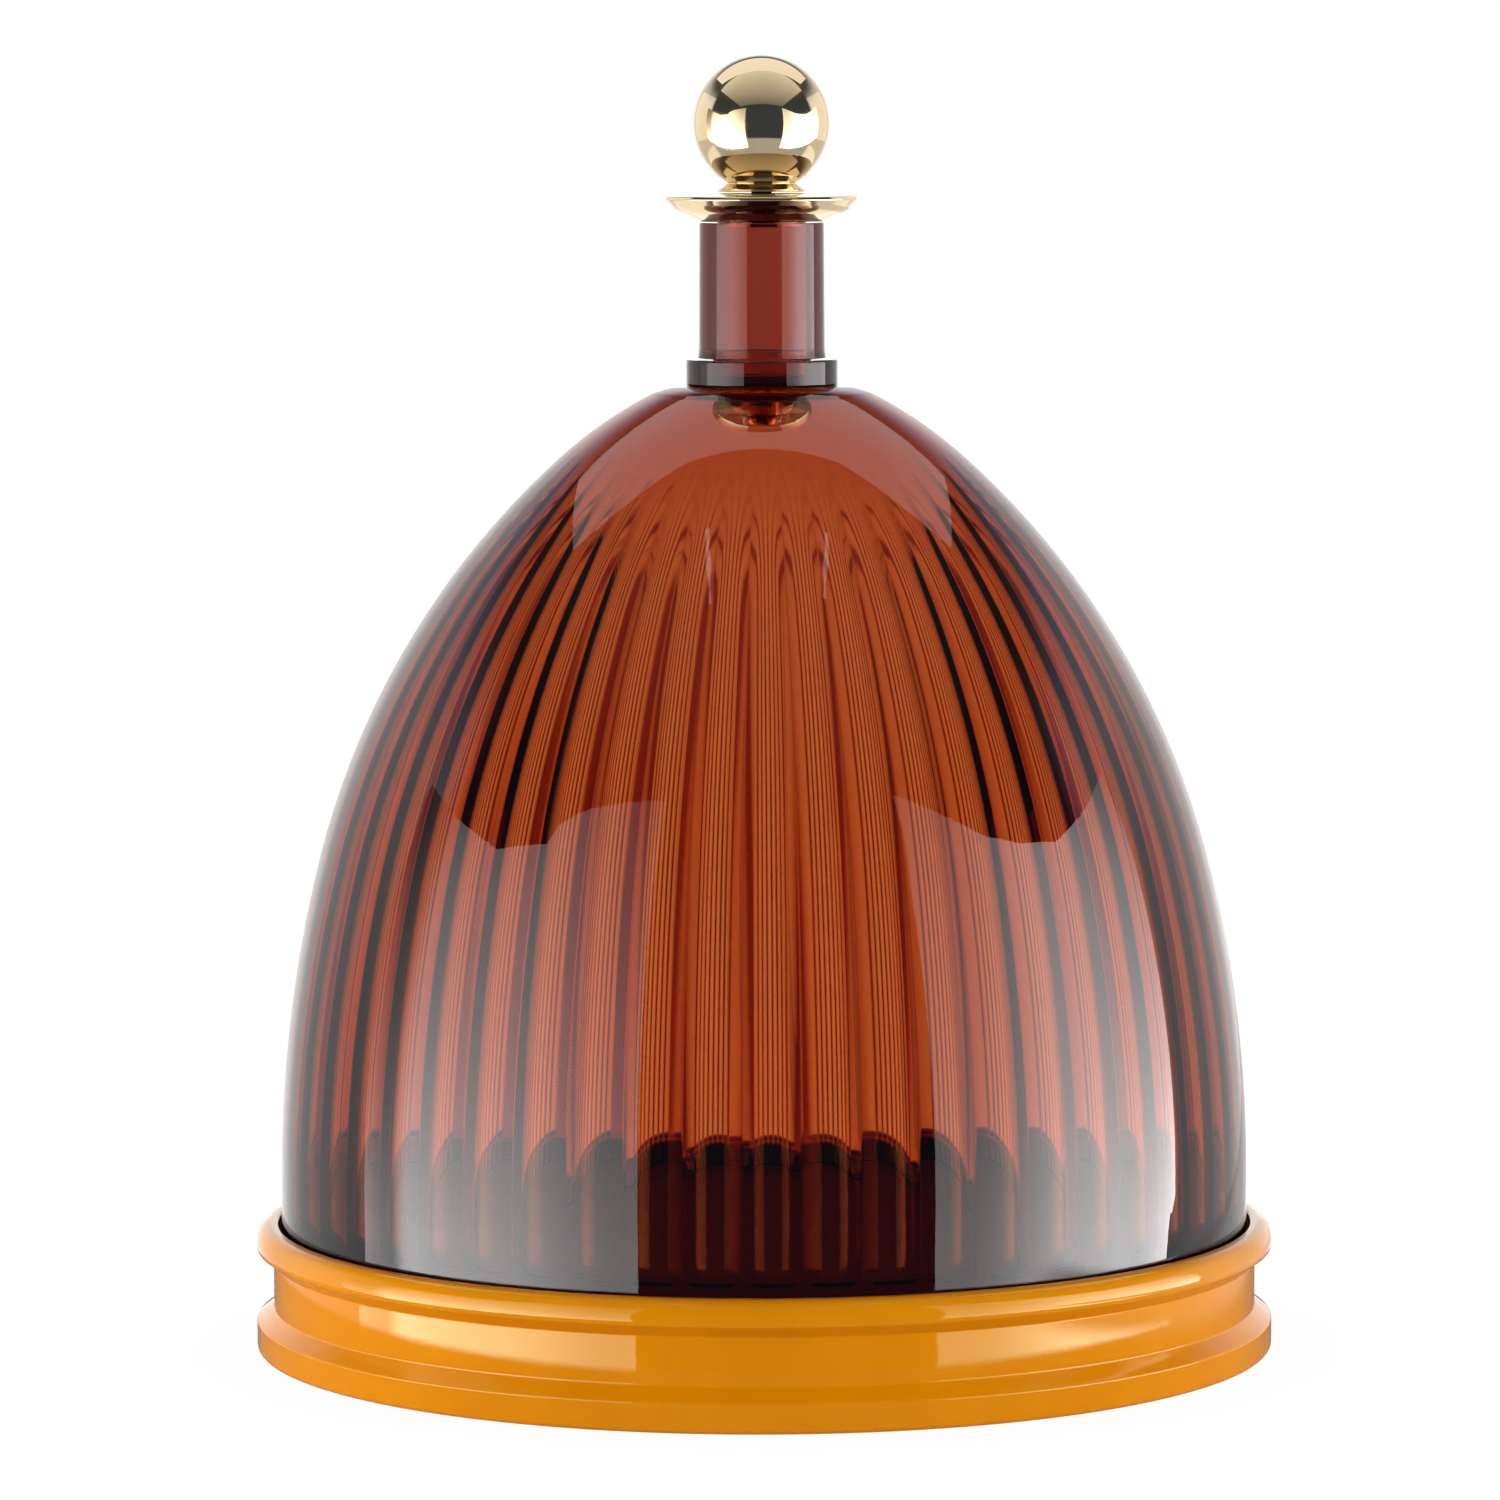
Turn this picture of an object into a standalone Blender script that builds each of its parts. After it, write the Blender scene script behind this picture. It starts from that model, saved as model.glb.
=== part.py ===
"""Serving cloche: a fluted amber bell with a gold ball finial, in an orange tray.

The origin is the centre of the tray's foot, +Z is up, and lengths are in metres. Each piece is
turned about Z from an outline of (radius, height) points. The bell is a turned blank, and the
fluted core that moulds its inside is cut out of it.
"""

import math

import bmesh
import bpy

# Play between pieces that touch
GAP = 0.0003

# Bell: a short straight foot, then three arcs, (radius, sweep in degrees), up to the crown
BELL_RADIUS = 0.1426
BELL_HEIGHT = 0.2519
FOOT_STRAIGHT = 0.0198
WALL_ARCS = ((0.380, 14.25), (0.236, 34.0), (0.127, 16.9))
BELL_WALL = 0.0024
BELL_FOOT_ROUND = 0.0006
CROWN_LAND = 0.0058
CROWN_ROUND = 0.020
CROWN_THICKNESS = 0.0038
CROWN_WEB = 0.0026
BOSS_LEDGE = 0.0022
BOSS_SPREAD = 0.0018

# Flutes inside the bell, heights measured from its foot. Each is a round hollow, over a share of
# its width, between straight flanks that meet the next flute's in a ridge, at an angle in degrees.
FLUTES = 52
FLUTE_HOLLOW = 0.58
FLUTE_FLANK = 22.5
FLUTE_TURN = 0.82
FLUTE_FOOT = 0.0082
FLUTE_FOOT_RUNOUT = 0.0045
FLUTE_TOP = 0.188
FLUTE_TOP_RUNOUT = 0.040

# Tray: two beads with a band between them, a rim round a well, and a hollow underside
RIM_WIDTH = 0.0065
RIM_PLAY = 0.0009
TRAY_HEIGHT = 0.0372
TRAY_WALL = 0.0030
BAND_INSET = 0.0050
LOWER_BEAD_HEIGHT = 0.0086
LOWER_SLOPE_HEIGHT = 0.0038
UPPER_BEAD_HEIGHT = 0.0072
UPPER_SLOPE_HEIGHT = 0.0036
WELL_DEPTH = 0.0062
FOOT_ROUND = 0.0015
RIM_ROUND = 0.0008
BEAD_ROUND = 0.0005
WELL_ROUND = 0.0020

# Neck tube
NECK_RADIUS = 0.0183
NECK_WALL = 0.0051
NECK_HEIGHT = 0.0396
NECK_FLARE = 0.00055
NECK_FLARE_HEIGHT = 0.0024
NECK_ROUND = 0.0003

# Collar: a ring under the neck, a spigot in it, and a tapered foot in the crown
COLLAR_LEDGE = 0.0034
COLLAR_HEIGHT = 0.0073
COLLAR_CHAMFER = 0.0032
COLLAR_ROUND = 0.0004
SEAT_DEPTH = 0.0020
FOOT_RADIUS = 0.0118
FOOT_TAPER = 0.0027
SPIGOT_HEIGHT = 0.0025
SPIGOT_STEP = 0.0014
SPIGOT_WALL = 0.0025
CUP_DEPTH = 0.0049
STEM_RADIUS = 0.0040
STEM_CHAMFER = 0.0006

# Washer and cap nut under the crown
WASHER_THICKNESS = 0.0008
WASHER_INSET = 0.0003
NUT_LEDGE = 0.0021
NUT_BULGE = 0.0009
NUT_HEIGHT = 0.0079
NUT_SHOULDER = 0.0030
NUT_FLOOR = 0.0031

# Saucer that closes the neck, heights measured from its seat
SAUCER_RADIUS = 0.0284
SAUCER_LIP = 0.0027
SAUCER_LIP_HEIGHT = 0.0034
SAUCER_BOWL_HEIGHT = 0.0032
SAUCER_BOWL_ROUND = 0.006
SAUCER_EDGE = 0.0008
SAUCER_HEIGHT = 0.0084
SAUCER_BOSS = 0.0005
PLUG_DEPTH = 0.0016

# Ball, its foot, and the stud that joins them to the saucer
BALL_RADIUS = 0.02005
BALL_SINK = 0.0002
KNOB_LEDGE = 0.0008
KNOB_FLARE = 0.0026
KNOB_FOOT_HEIGHT = 0.0023
KNOB_FOOT_EDGE = 0.0004
STUD_RADIUS = 0.0030
STUD_IN_SAUCER = 0.0058
STUD_IN_BALL = 0.0085
STUD_CHAMFER = 0.0005

# Facets: sides of a turn, degrees of wall to a facet, the length of a facet on a small round, and
# the core's rings as shares of the wall's turning, closer together where it bends more
TRAY_SIDES = 60
BELL_SIDES = 60
SMALL_SIDES = 32
STUD_SIDES = 16
WALL_STEP = 6.5
ROUND_STEP = 0.0007
ROUND_STEPS_MOST = 3
CORE_RINGS = (0.135, 0.28, 0.45, 0.62, 0.79, 1.0)
BALL_STEPS = 12
NUT_STEPS = 8

# Radii that follow from the sizes above
RIM_INNER = BELL_RADIUS + RIM_PLAY
TRAY_RADIUS = RIM_INNER + RIM_WIDTH
NECK_BORE = NECK_RADIUS - NECK_WALL
NECK_SOCKET = NECK_BORE + SPIGOT_STEP
SPIGOT_RADIUS = NECK_SOCKET - GAP
COLLAR_RADIUS = NECK_RADIUS + NECK_FLARE + COLLAR_LEDGE
SEAT_RADIUS = COLLAR_RADIUS - COLLAR_CHAMFER
CROWN_RADIUS = COLLAR_RADIUS + CROWN_LAND
FOOT_TOP_RADIUS = FOOT_RADIUS + FOOT_TAPER
NUT_TOP_RADIUS = FOOT_RADIUS + NUT_LEDGE
NUT_RADIUS = NUT_TOP_RADIUS + NUT_BULGE
BOSS_RADIUS = NUT_RADIUS + BOSS_LEDGE
BOSS_FOOT_RADIUS = COLLAR_RADIUS + BOSS_SPREAD
STEM_BORE = STEM_RADIUS + GAP
STUD_BORE = STUD_RADIUS + GAP

# Heights that follow from the sizes above
WELL_FLOOR = TRAY_HEIGHT - WELL_DEPTH
BELL_BASE = WELL_FLOOR + GAP
CROWN_TOP = BELL_BASE + BELL_HEIGHT
CROWN_UNDER = CROWN_TOP - CROWN_THICKNESS
CROWN_INSIDE = CROWN_TOP - CROWN_WEB
SEAT_FLOOR = CROWN_TOP - SEAT_DEPTH
COLLAR_SEAT = SEAT_FLOOR + GAP
COLLAR_FACE = COLLAR_SEAT + SEAT_DEPTH
COLLAR_TOP = COLLAR_FACE + COLLAR_HEIGHT
COLLAR_FOOT = CROWN_UNDER + GAP
WASHER_TOP = CROWN_UNDER - GAP
NUT_TOP = WASHER_TOP - WASHER_THICKNESS - GAP
NUT_BASE = NUT_TOP - NUT_HEIGHT
NUT_BORE_END = NUT_BASE + NUT_FLOOR
NECK_BASE = COLLAR_TOP + GAP
NECK_TOP = NECK_BASE + NECK_HEIGHT
SAUCER_BASE = NECK_TOP + GAP
SAUCER_TOP = SAUCER_BASE + SAUCER_HEIGHT
KNOB_BASE = SAUCER_TOP + GAP
KNOB_NECK = KNOB_BASE + KNOB_FOOT_HEIGHT
BALL_CENTRE = KNOB_BASE + BALL_RADIUS - BALL_SINK

# The ball's foot is as wide as the ball where they meet, a ledge wider, and flares below
KNOB_NECK_RADIUS = math.sqrt(BALL_RADIUS ** 2 - (BALL_CENTRE - KNOB_NECK) ** 2) + KNOB_LEDGE
KNOB_FOOT_RADIUS = KNOB_NECK_RADIUS + KNOB_FLARE


def clear_scene():
    """Empty the file that the script runs in."""
    for old in list(bpy.data.objects):
        bpy.data.objects.remove(old, do_unlink=True)


def finish_material(name, colour, roughness, metallic=0.0, transmission=0.0):
    """One Principled material: base colour, roughness, metal and clearness."""
    material = bpy.data.materials.new(name)
    material.use_nodes = True
    shader = material.node_tree.nodes["Principled BSDF"]
    shader.inputs["Base Color"].default_value = (*colour, 1.0)
    shader.inputs["Roughness"].default_value = roughness
    shader.inputs["Metallic"].default_value = metallic
    shader.inputs["Transmission Weight"].default_value = transmission
    shader.inputs["IOR"].default_value = 1.49
    material.diffuse_color = (*colour, 1.0)
    return material


def arc(centre, radius, start, end, steps):
    """Points on an arc in the outline's plane, angles in radians from the +radius direction."""
    turns = [start + (end - start) * i / steps for i in range(steps + 1)]
    return [(centre[0] + radius * math.cos(t), centre[1] + radius * math.sin(t)) for t in turns]


def rounded(before, corner, after, radius):
    """The corner of an outline, as a round that is tangent to both of its sides."""
    ax, az = before[0] - corner[0], before[1] - corner[1]
    bx, bz = after[0] - corner[0], after[1] - corner[1]
    a_length, b_length = math.hypot(ax, az), math.hypot(bx, bz)
    ax, az, bx, bz = ax / a_length, az / a_length, bx / b_length, bz / b_length
    half = math.acos(max(-1.0, min(1.0, ax * bx + az * bz))) / 2
    setback = min(radius / math.tan(half), 0.49 * a_length, 0.49 * b_length)
    radius = setback * math.tan(half)
    middle_x, middle_z = ax + bx, az + bz
    reach = radius / math.sin(half) / math.hypot(middle_x, middle_z)
    centre = (corner[0] + middle_x * reach, corner[1] + middle_z * reach)
    first = math.atan2(corner[1] + az * setback - centre[1], corner[0] + ax * setback - centre[0])
    last = math.atan2(corner[1] + bz * setback - centre[1], corner[0] + bx * setback - centre[0])
    sweep = (last - first + math.pi) % (2 * math.pi) - math.pi
    steps = max(1, min(ROUND_STEPS_MOST, round(radius / ROUND_STEP)))
    return arc(centre, radius, first, first + sweep, steps)


def outline(*points):
    """An outline from (radius, height) points; a third number rounds that corner."""
    result = []
    for i, point in enumerate(points):
        if len(point) == 3:
            before = points[i - 1]
            after = points[(i + 1) % len(points)]
            result += rounded(before[:2], point[:2], after[:2], point[2])
        else:
            result.append(point)
    return result


def new_object(name, shape, material):
    """Put a bmesh into a named object with its own material, smooth but for its sharp edges."""
    bmesh.ops.remove_doubles(shape, verts=shape.verts, dist=1e-7)
    bmesh.ops.recalc_face_normals(shape, faces=shape.faces)
    mesh = bpy.data.meshes.new(name)
    shape.to_mesh(mesh)
    shape.free()
    mesh.shade_smooth()
    mesh.set_sharp_from_angle(angle=math.radians(32))
    piece = bpy.data.objects.new(name, mesh)
    bpy.context.scene.collection.objects.link(piece)
    if material:
        mesh.materials.append(material)
    return piece


def turned(name, points, sides, material, ring=False):
    """A solid of revolution. A ring's outline closes on itself, the others end on the axis."""
    shape = bmesh.new()
    verts = [shape.verts.new((radius, 0, height)) for radius, height in points]
    pairs = list(zip(verts, verts[1:]))
    if ring:
        pairs.append((verts[-1], verts[0]))
    edges = [shape.edges.new(pair) for pair in pairs]
    bmesh.ops.spin(shape, geom=verts + edges, cent=(0, 0, 0), axis=(0, 0, 1), dvec=(0, 0, 0),
                   angle=2 * math.pi, steps=sides, use_merge=True)
    return new_object(name, shape, material)


def cut(piece, cutter):
    """Subtract a cutter, which stays in the file as a wire guide that does not render."""
    cutter.hide_render = True
    cutter.display_type = "WIRE"
    modifier = piece.modifiers.new("cut_" + cutter.name, "BOOLEAN")
    modifier.operation = "DIFFERENCE"
    modifier.solver = "EXACT"
    modifier.object = cutter


def ease(t):
    """Smooth step from 0 to 1."""
    t = max(0.0, min(1.0, t))
    return t * t * (3 - 2 * t)


def arcs_reach(travel):
    """How far in and how far up the wall's arcs have come after a turning angle in degrees."""
    drawn_in, risen, turned_by = 0.0, 0.0, 0.0
    for radius, sweep in WALL_ARCS:
        start = math.radians(turned_by)
        turned_by = min(turned_by + sweep, travel)
        end = math.radians(turned_by)
        drawn_in += radius * (math.cos(start) - math.cos(end))
        risen += radius * (math.sin(end) - math.sin(start))
        if turned_by >= travel:
            break
    return drawn_in, risen


WALL_TRAVEL = sum(sweep for _, sweep in WALL_ARCS)
DRAWN_IN, RISEN = arcs_reach(WALL_TRAVEL)
STRETCH_IN = (BELL_RADIUS - CROWN_RADIUS) / DRAWN_IN
STRETCH_UP = (BELL_HEIGHT - FOOT_STRAIGHT) / RISEN


def wall_point(travel, inset=0.0):
    """A point of the bell's wall after a turning angle, inset at a right angle to the outside.

    The arcs are stretched, by next to nothing at the drawn sizes, to end on the crown's edge.
    """
    drawn_in, risen = arcs_reach(travel)
    lean = math.radians(travel)
    out, up = math.cos(lean) * STRETCH_UP, math.sin(lean) * STRETCH_IN
    length = math.hypot(out, up)
    radius = BELL_RADIUS - STRETCH_IN * drawn_in - inset * out / length
    height = BELL_BASE + FOOT_STRAIGHT + STRETCH_UP * risen - inset * up / length
    return radius, height


def wall_travel(height, inset):
    """The turning angle at which the inset wall reaches a height, found by halving."""
    low, high = 0.0, WALL_TRAVEL
    for _ in range(40):
        middle = (low + high) / 2
        if wall_point(middle, inset)[1] < height:
            low = middle
        else:
            high = middle
    return low


def wall_radius(height, inset):
    """Radius of the inset wall at a height; it is straight below the arcs."""
    if height <= BELL_BASE + FOOT_STRAIGHT:
        return BELL_RADIUS - inset
    return wall_point(wall_travel(height, inset), inset)[0]


def flute_rise(across):
    """How far a flute's surface is off the bottom of its hollow, in half widths of the flute.

    Across runs from -1 at one ridge to 1 at the next. The hollow is an arc, which the flanks leave
    at its ends without a bend.
    """
    flank = math.radians(FLUTE_FLANK)
    bend = FLUTE_HOLLOW / math.sin(flank)
    in_hollow = min(abs(across), FLUTE_HOLLOW)
    on_flank = abs(across) - in_hollow
    return bend - math.sqrt(bend ** 2 - in_hollow ** 2) + on_flank * math.tan(flank)


def flute_ring(height, hollow):
    """One ring of the core, whose hollows reach this radius and whose ridges draw in from it.

    The depth keeps its share of the radius, so the flanks lean alike at every height. At the foot
    the hollows run out on to a plain band as thick as the ridges, and under the crown the ridges
    fade.
    """
    above = height - BELL_BASE
    half_width = math.pi / FLUTES
    foot = ease((above - FLUTE_FOOT) / FLUTE_FOOT_RUNOUT)
    top = ease((FLUTE_TOP + FLUTE_TOP_RUNOUT - above) / FLUTE_TOP_RUNOUT)
    ring = []
    for i in range(FLUTES):
        for across in (-1, -FLUTE_HOLLOW, 0, FLUTE_HOLLOW):
            drop = half_width * (flute_rise(1) - foot * (flute_rise(1) - flute_rise(across)))
            angle = half_width * (2 * i + across) + math.radians(FLUTE_TURN - 90)
            radius = hollow * (1 - top * drop)
            ring.append((radius * math.cos(angle), radius * math.sin(angle), height))
    return ring


def bell_core(name):
    """The fluted core: rings of the flute outline from below the foot to the crown.

    On top it has a pit with a sloped side, which leaves a boss under the collar's seat for the
    washer to bear on.
    """
    run_start = BELL_BASE + FLUTE_FOOT
    heights = [
        BELL_BASE - BELL_WALL,
        run_start,
        run_start + FLUTE_FOOT_RUNOUT,
        BELL_BASE + FOOT_STRAIGHT,
    ]
    top_travel = wall_travel(CROWN_INSIDE, BELL_WALL)
    for share in CORE_RINGS:
        heights.append(min(wall_point(top_travel * share, BELL_WALL)[1], CROWN_INSIDE))
    rings = [flute_ring(height, wall_radius(height, BELL_WALL)) for height in heights]
    rings += [flute_ring(CROWN_INSIDE, BOSS_FOOT_RADIUS), flute_ring(CROWN_UNDER, BOSS_RADIUS)]
    shape = bmesh.new()
    loops = [[shape.verts.new(place) for place in ring] for ring in rings]
    for lower, upper in zip(loops, loops[1:]):
        for i in range(len(lower)):
            shape.faces.new((lower[i - 1], lower[i], upper[i], upper[i - 1]))
    shape.faces.new(loops[0])
    shape.faces.new(loops[-1])
    return new_object(name, shape, None)


def make_base_tray(material):
    """Orange tray: beads and band outside, well and rim on top, and a hollow under the floor."""
    waist = TRAY_RADIUS - BAND_INSET
    band_low = LOWER_BEAD_HEIGHT + LOWER_SLOPE_HEIGHT
    bead_low = TRAY_HEIGHT - UPPER_BEAD_HEIGHT
    band_high = bead_low - UPPER_SLOPE_HEIGHT
    under = WELL_FLOOR - TRAY_WALL
    points = outline(
        (0, WELL_FLOOR),
        (RIM_INNER, WELL_FLOOR),
        (RIM_INNER, TRAY_HEIGHT, RIM_ROUND),
        (TRAY_RADIUS, TRAY_HEIGHT, RIM_ROUND),
        (TRAY_RADIUS, bead_low, BEAD_ROUND),
        (waist, band_high, BEAD_ROUND),
        (waist, band_low, BEAD_ROUND),
        (TRAY_RADIUS, LOWER_BEAD_HEIGHT, BEAD_ROUND),
        (TRAY_RADIUS, 0, FOOT_ROUND),
        (TRAY_RADIUS - TRAY_WALL, 0),
        (TRAY_RADIUS - TRAY_WALL, LOWER_BEAD_HEIGHT),
        (waist - TRAY_WALL, band_low),
        (waist - TRAY_WALL, under, WELL_ROUND),
        (0, under),
    )
    return turned("base_tray", points, TRAY_SIDES, material)


def make_dome_shell(material):
    """Amber bell: a turned blank, less the fluted core, the collar's seat and its hole."""
    edge = wall_point(WALL_TRAVEL)
    slope = math.radians(90 - WALL_TRAVEL)
    setback = min(CROWN_ROUND * math.tan(slope / 2), CROWN_LAND) * math.cos(slope)
    steps = round(WALL_TRAVEL / WALL_STEP)
    wall = [wall_point(WALL_TRAVEL * i / steps) for i in range(steps)]
    wall = [point for point in wall if point[0] > edge[0] + setback]
    points = outline((0, BELL_BASE), (BELL_RADIUS, BELL_BASE, BELL_FOOT_ROUND), wall[0])
    points += wall[1:] + rounded(wall[-1], edge, (0, CROWN_TOP), CROWN_ROUND) + [(0, CROWN_TOP)]
    shell = turned("dome_shell", points, BELL_SIDES, material)
    cut(shell, bell_core("bell_core"))
    seat_outline = [
        (0, CROWN_UNDER - CROWN_THICKNESS),
        (FOOT_RADIUS + GAP, CROWN_UNDER - CROWN_THICKNESS),
        (FOOT_RADIUS + GAP, CROWN_UNDER),
        (FOOT_TOP_RADIUS + GAP, SEAT_FLOOR),
        (SEAT_RADIUS + GAP, SEAT_FLOOR),
        (COLLAR_RADIUS + GAP, CROWN_TOP),
        (COLLAR_RADIUS + GAP, CROWN_TOP + CROWN_THICKNESS),
        (0, CROWN_TOP + CROWN_THICKNESS),
    ]
    cut(shell, turned("seat_cutter", seat_outline, SMALL_SIDES, None))
    return shell


def make_collar(material):
    """Amber collar: stem, tapered foot, chamfered ring, and a spigot round a blind cup."""
    cup_radius = SPIGOT_RADIUS - SPIGOT_WALL
    spigot_top = COLLAR_TOP + SPIGOT_HEIGHT
    cup_floor = COLLAR_TOP - CUP_DEPTH
    stem_end = NUT_BORE_END + GAP
    points = outline(
        (0, stem_end),
        (STEM_RADIUS - STEM_CHAMFER, stem_end),
        (STEM_RADIUS, stem_end + STEM_CHAMFER),
        (STEM_RADIUS, COLLAR_FOOT),
        (FOOT_RADIUS, COLLAR_FOOT),
        (FOOT_TOP_RADIUS, COLLAR_SEAT),
        (SEAT_RADIUS, COLLAR_SEAT),
        (COLLAR_RADIUS, COLLAR_FACE, COLLAR_ROUND),
        (COLLAR_RADIUS, COLLAR_TOP, COLLAR_ROUND),
        (SPIGOT_RADIUS, COLLAR_TOP),
        (SPIGOT_RADIUS, spigot_top),
        (cup_radius, spigot_top),
        (cup_radius, cup_floor),
        (0, cup_floor),
    )
    return turned("collar", points, SMALL_SIDES, material)


def make_nut_washer(material):
    """Silicone washer that takes the nut's pressure off the crown."""
    base = WASHER_TOP - WASHER_THICKNESS
    rim = NUT_TOP_RADIUS - WASHER_INSET
    points = [(STEM_BORE, base), (rim, base), (rim, WASHER_TOP), (STEM_BORE, WASHER_TOP)]
    return turned("nut_washer", points, SMALL_SIDES, material, ring=True)


def make_retaining_nut(material):
    """Amber cap nut: a bun with a flat top and a blind bore for the stem."""
    widest = NUT_TOP - NUT_SHOULDER
    belly = NUT_HEIGHT - NUT_SHOULDER
    lean = math.acos(NUT_TOP_RADIUS / NUT_RADIUS)
    shoulder = NUT_SHOULDER / math.sin(lean)
    points = [(0, NUT_BASE)]
    for i in range(1, NUT_STEPS + 1):
        turn = math.radians(90 * i / NUT_STEPS - 90)
        points.append((NUT_RADIUS * math.cos(turn), widest + belly * math.sin(turn)))
    for share in (0.5, 1.0):
        turn = lean * share
        points.append((NUT_RADIUS * math.cos(turn), widest + shoulder * math.sin(turn)))
    points += [(STEM_BORE, NUT_TOP), (STEM_BORE, NUT_BORE_END), (0, NUT_BORE_END)]
    return turned("retaining_nut", points, SMALL_SIDES, material)


def make_neck_tube(material):
    """Amber tube: slightly flared at its foot and counterbored for the collar's spigot."""
    socket_end = COLLAR_TOP + SPIGOT_HEIGHT + GAP
    points = outline(
        (NECK_RADIUS + NECK_FLARE, NECK_BASE),
        (NECK_RADIUS + NECK_FLARE / 3, NECK_BASE + NECK_FLARE_HEIGHT),
        (NECK_RADIUS, NECK_TOP, NECK_ROUND),
        (NECK_BORE, NECK_TOP, NECK_ROUND),
        (NECK_BORE, socket_end),
        (NECK_SOCKET, socket_end),
        (NECK_SOCKET, NECK_BASE),
    )
    return turned("neck_tube", points, SMALL_SIDES, material, ring=True)


def make_saucer(material):
    """Gold dish: shallow plug, conical bowl, lip, slightly domed top and a blind hole."""
    plug = NECK_BORE - GAP
    bowl = (SAUCER_RADIUS - SAUCER_LIP, SAUCER_BASE + SAUCER_BOWL_HEIGHT, SAUCER_BOWL_ROUND)
    lip = SAUCER_BASE + SAUCER_BOWL_HEIGHT + SAUCER_LIP_HEIGHT
    hole_end = SAUCER_TOP - STUD_IN_SAUCER - GAP
    points = outline(
        (0, SAUCER_BASE - PLUG_DEPTH),
        (plug, SAUCER_BASE - PLUG_DEPTH),
        (plug, SAUCER_BASE),
        (NECK_RADIUS, SAUCER_BASE),
        bowl,
        (SAUCER_RADIUS, lip),
        (SAUCER_RADIUS - SAUCER_EDGE, lip + SAUCER_EDGE),
        (KNOB_FOOT_RADIUS + SAUCER_BOSS, SAUCER_TOP),
        (STUD_BORE, SAUCER_TOP),
        (STUD_BORE, hole_end),
        (0, hole_end),
    )
    return turned("saucer", points, SMALL_SIDES, material)


def make_ball_knob(material):
    """Gold ball on a small flared foot, bored for the stud."""
    start = math.asin((KNOB_NECK - BALL_CENTRE) / BALL_RADIUS)
    bore_end = KNOB_BASE + STUD_IN_BALL
    points = [
        (0, bore_end),
        (STUD_BORE, bore_end),
        (STUD_BORE, KNOB_BASE),
        (KNOB_FOOT_RADIUS - KNOB_FOOT_EDGE, KNOB_BASE),
        (KNOB_FOOT_RADIUS, KNOB_BASE + KNOB_FOOT_EDGE),
        (KNOB_NECK_RADIUS, KNOB_NECK),
    ]
    points += arc((0, BALL_CENTRE), BALL_RADIUS, start, math.pi / 2, BALL_STEPS)
    return turned("ball_knob", points, SMALL_SIDES, material)


def make_knob_stud(material):
    """Headless stud, chamfered at both ends."""
    low = SAUCER_TOP - STUD_IN_SAUCER
    high = KNOB_BASE + STUD_IN_BALL - GAP
    points = [
        (0, low),
        (STUD_RADIUS - STUD_CHAMFER, low),
        (STUD_RADIUS, low + STUD_CHAMFER),
        (STUD_RADIUS, high - STUD_CHAMFER),
        (STUD_RADIUS - STUD_CHAMFER, high),
        (0, high),
    ]
    return turned("knob_stud", points, STUD_SIDES, material)


clear_scene()
orange = (0.61, 0.18, 0.004)
amber = (0.42, 0.06, 0.012)
gold = (0.80, 0.62, 0.36)
make_base_tray(finish_material("orange_gloss", orange, 0.12))
make_dome_shell(finish_material("amber_clear", amber, 0.02, transmission=0.9))
make_collar(finish_material("amber_collar", amber, 0.03, transmission=0.9))
make_nut_washer(finish_material("silicone", (0.55, 0.50, 0.46), 0.45))
make_retaining_nut(finish_material("amber_nut", amber, 0.05, transmission=0.9))
make_neck_tube(finish_material("amber_tube", amber, 0.02, transmission=0.9))
make_saucer(finish_material("gold_saucer", gold, 0.08, metallic=1.0))
make_ball_knob(finish_material("gold_ball", gold, 0.06, metallic=1.0))
make_knob_stud(finish_material("steel_stud", (0.60, 0.60, 0.62), 0.35, metallic=1.0))
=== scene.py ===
"""Serving cloche: a fluted amber acrylic bell with a gold ball finial, in an orange tray."""

import math

import bpy
import numpy as np
from mathutils import Matrix


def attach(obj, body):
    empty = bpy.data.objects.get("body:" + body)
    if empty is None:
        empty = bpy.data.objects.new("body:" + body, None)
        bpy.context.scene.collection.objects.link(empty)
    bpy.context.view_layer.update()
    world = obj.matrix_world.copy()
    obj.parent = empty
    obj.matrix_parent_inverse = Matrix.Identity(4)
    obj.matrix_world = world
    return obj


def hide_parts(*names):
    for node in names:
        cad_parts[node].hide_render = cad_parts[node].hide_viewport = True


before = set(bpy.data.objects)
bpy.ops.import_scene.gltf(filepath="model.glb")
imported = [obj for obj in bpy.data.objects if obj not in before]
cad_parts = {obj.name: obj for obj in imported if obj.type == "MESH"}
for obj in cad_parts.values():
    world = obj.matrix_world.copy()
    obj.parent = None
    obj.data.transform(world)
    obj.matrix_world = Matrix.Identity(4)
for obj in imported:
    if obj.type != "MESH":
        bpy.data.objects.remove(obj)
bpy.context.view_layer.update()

# Camera
# A long lens two metres away, level with the knob and tilted down by five degrees, so that the
# cloche nearly fills the height of the frame.
camera_data = bpy.data.cameras.new("camera")
camera_data.sensor_width = 36
camera_data.lens = 165.55
camera_data.clip_start, camera_data.clip_end = 0.05, 50
camera = bpy.data.objects.new("camera", camera_data)
bpy.context.scene.collection.objects.link(camera)
camera.matrix_world = (
    Matrix.Translation((-0.0038, -2.023, 0.3606))
    @ Matrix.Rotation(math.radians(90 - 5.221), 4, "X")
    @ Matrix.Rotation(math.radians(-0.15), 4, "Z")
)
bpy.context.scene.camera = camera
bpy.context.scene.view_settings.view_transform = "Standard"


# Studio
# A white floor and backdrop, two tall scrims at the left and right, a ceiling card and two slits
# overhead, and a dark room in front, all of which the polish mirrors. The knob and its saucer
# have cards of their own, and two soft lamps, which no gloss sees, bring out the tray's colour.
WHITE = (1, 1, 1, 1)


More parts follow.
